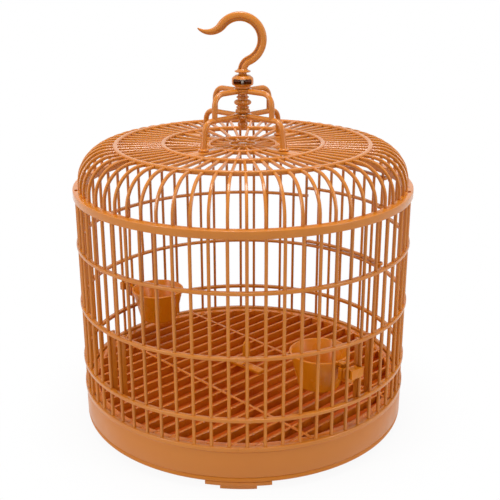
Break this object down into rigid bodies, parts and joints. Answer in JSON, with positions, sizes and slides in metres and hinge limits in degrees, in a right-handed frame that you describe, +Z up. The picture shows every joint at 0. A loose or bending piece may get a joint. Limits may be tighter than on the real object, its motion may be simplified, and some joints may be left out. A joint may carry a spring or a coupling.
{
  "type": "hanging bird cage",
  "caption": "Round hanging bird cage of moulded plastic canes with a domed roof, swivel hook, swing door, lift-off base tray and clamped seed cups.",
  "frame": {"origin": "on the cage's upright axis, level with the soles of the feet", "axes": "+Z up along the axis of the hook, -Y towards the seam that faces the camera, +X to the right of the picture"},
  "size_m": [0.331, 0.331, 0.4061],
  "materials": {
    "cane": "moulded plastic in a caramel bamboo colour, softly glossy",
    "floor": "the same caramel plastic, softly glossy",
    "tray": "moulded plastic in a deeper orange brown, softly glossy",
    "cup": "moulded plastic, a little yellower and faintly see-through at the rim",
    "steel": "plain bright steel"
  },
  "bodies": {
    "base": {"dung_tray": "tray", "foot_1": "cane", "foot_2": "cane", "foot_3": "cane"},
    "cage": {"base_band": "cane", "floor_grate": "floor", "wall_left_1": "cane", "wall_left_2": "cane", "wall_left_3": "cane", "wall_left_4": "cane", "wall_left_5": "cane", "wall_left_6": "cane", "wall_right_1": "cane", "wall_sill": "cane", "wall_lintel": "cane", "wall_right_3": "cane", "wall_right_4": "cane", "wall_right_5": "cane", "wall_right_6": "cane", "dome_roof": "cane", "dome_shoulder_1": "cane", "dome_shoulder_2": "cane", "dome_shoulder_3": "cane", "dome_shoulder_4": "cane", "dome_shoulder_5": "cane", "dome_shoulder_6": "cane", "dome_shoulder_7": "cane", "dome_shoulder_8": "cane", "claw_arch_a": "cane", "claw_arch_b": "cane", "spindle": "cane", "drop_finial": "cane", "swivel_housing": "cane", "cup_arm_right": "cup", "cup_arm_left": "cup", "clip_base": "cup", "clip_pin": "steel"},
    "door": {"door": "cane"},
    "hook": {"hook": "cane", "swivel_pin": "steel"},
    "cup_right": {"cup_right": "cup"},
    "cup_left": {"cup_left": "cup"},
    "clip_jaw": {"clip_jaw": "cup"}
  },
  "joints": [
    {"name": "cage_lift", "type": "slide", "parent": "base", "child": "cage", "axis": [0, 0, 1], "range_m": [0, 0.03]},
    {"name": "hook_turn", "type": "hinge", "parent": "cage", "child": "hook", "pos_m": [0, 0, 0.3533], "axis": [0, 0, 1], "continuous": true},
    {"name": "door_swing", "type": "hinge", "parent": "cage", "child": "door", "pos_m": [0.14663, 0.06935, 0.1833], "axis": [0, 0, -1], "range_deg": [0, 95]},
    {"name": "cup_right_lift", "type": "slide", "parent": "cage", "child": "cup_right", "axis": [0, 0, 1], "range_m": [0, 0.012]},
    {"name": "cup_left_lift", "type": "slide", "parent": "cage", "child": "cup_left", "axis": [0, 0, 1], "range_m": [0, 0.012]},
    {"name": "clip_jaw_fold", "type": "hinge", "parent": "cage", "child": "clip_jaw", "pos_m": [0.003, -0.003, 0.0484], "axis": [0.6561, 0.7547, 0], "range_deg": [0, 85]}
  ]
}
